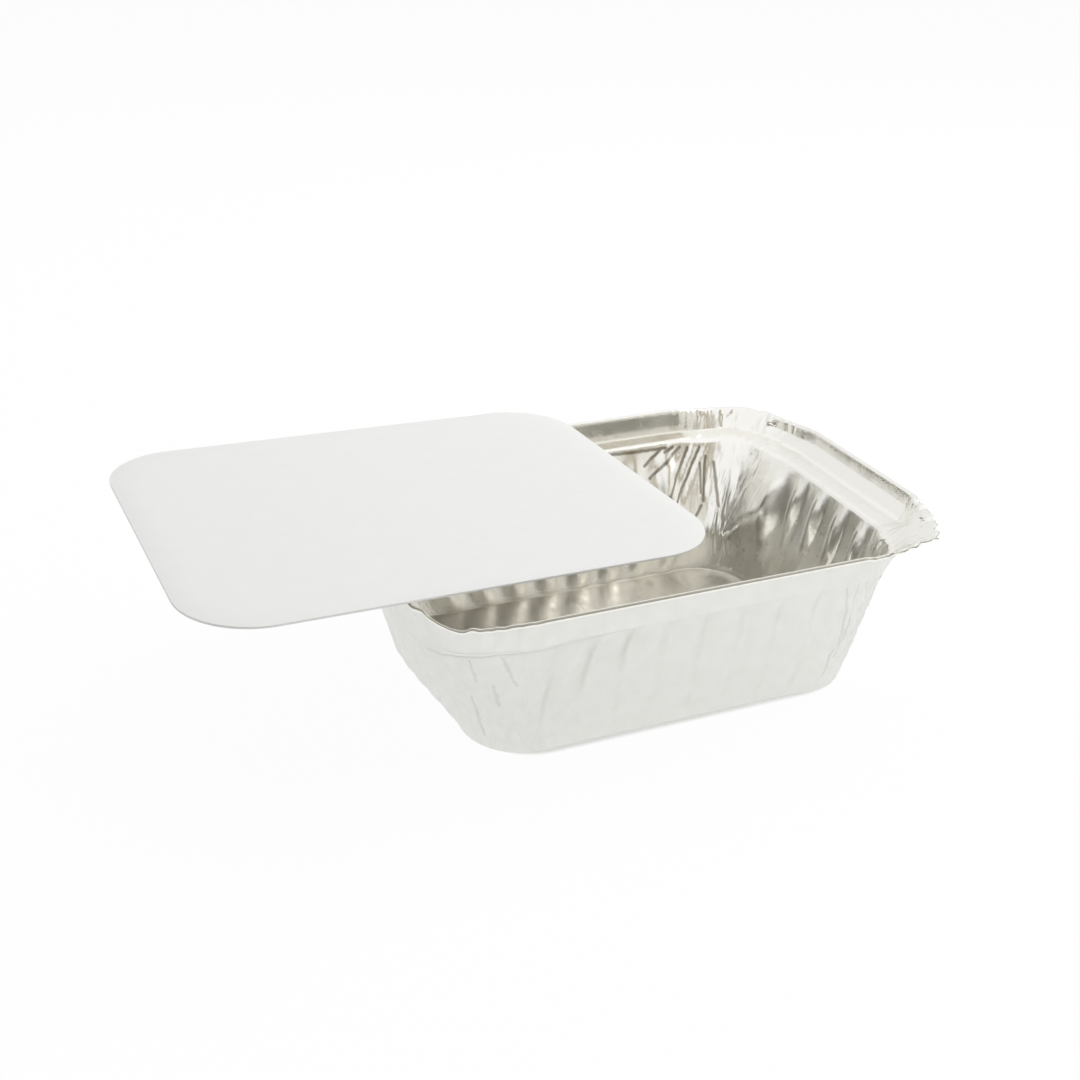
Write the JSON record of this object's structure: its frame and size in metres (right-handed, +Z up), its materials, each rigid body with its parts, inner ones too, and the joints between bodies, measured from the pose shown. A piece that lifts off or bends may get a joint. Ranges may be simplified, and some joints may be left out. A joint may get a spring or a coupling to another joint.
{
  "type": "foil food container",
  "caption": "Rectangular pressed foil takeaway tray with fluted walls and gathered corners, and a flat board lid laid askew on its rim.",
  "frame": {"origin": "middle of the tray's flat base, on its underside", "axes": "+X along the long side of the tray, +Y from the front wall to the back wall, +Z up out of the mouth"},
  "size_m": [0.2086, 0.1259, 0.0576],
  "materials": {
    "foil": "bright pressed foil",
    "lid_board": "smooth white coated board"
  },
  "bodies": {
    "root": {"foil_tray": "foil", "board_lid": "lid_board"}
  },
  "joints": []
}
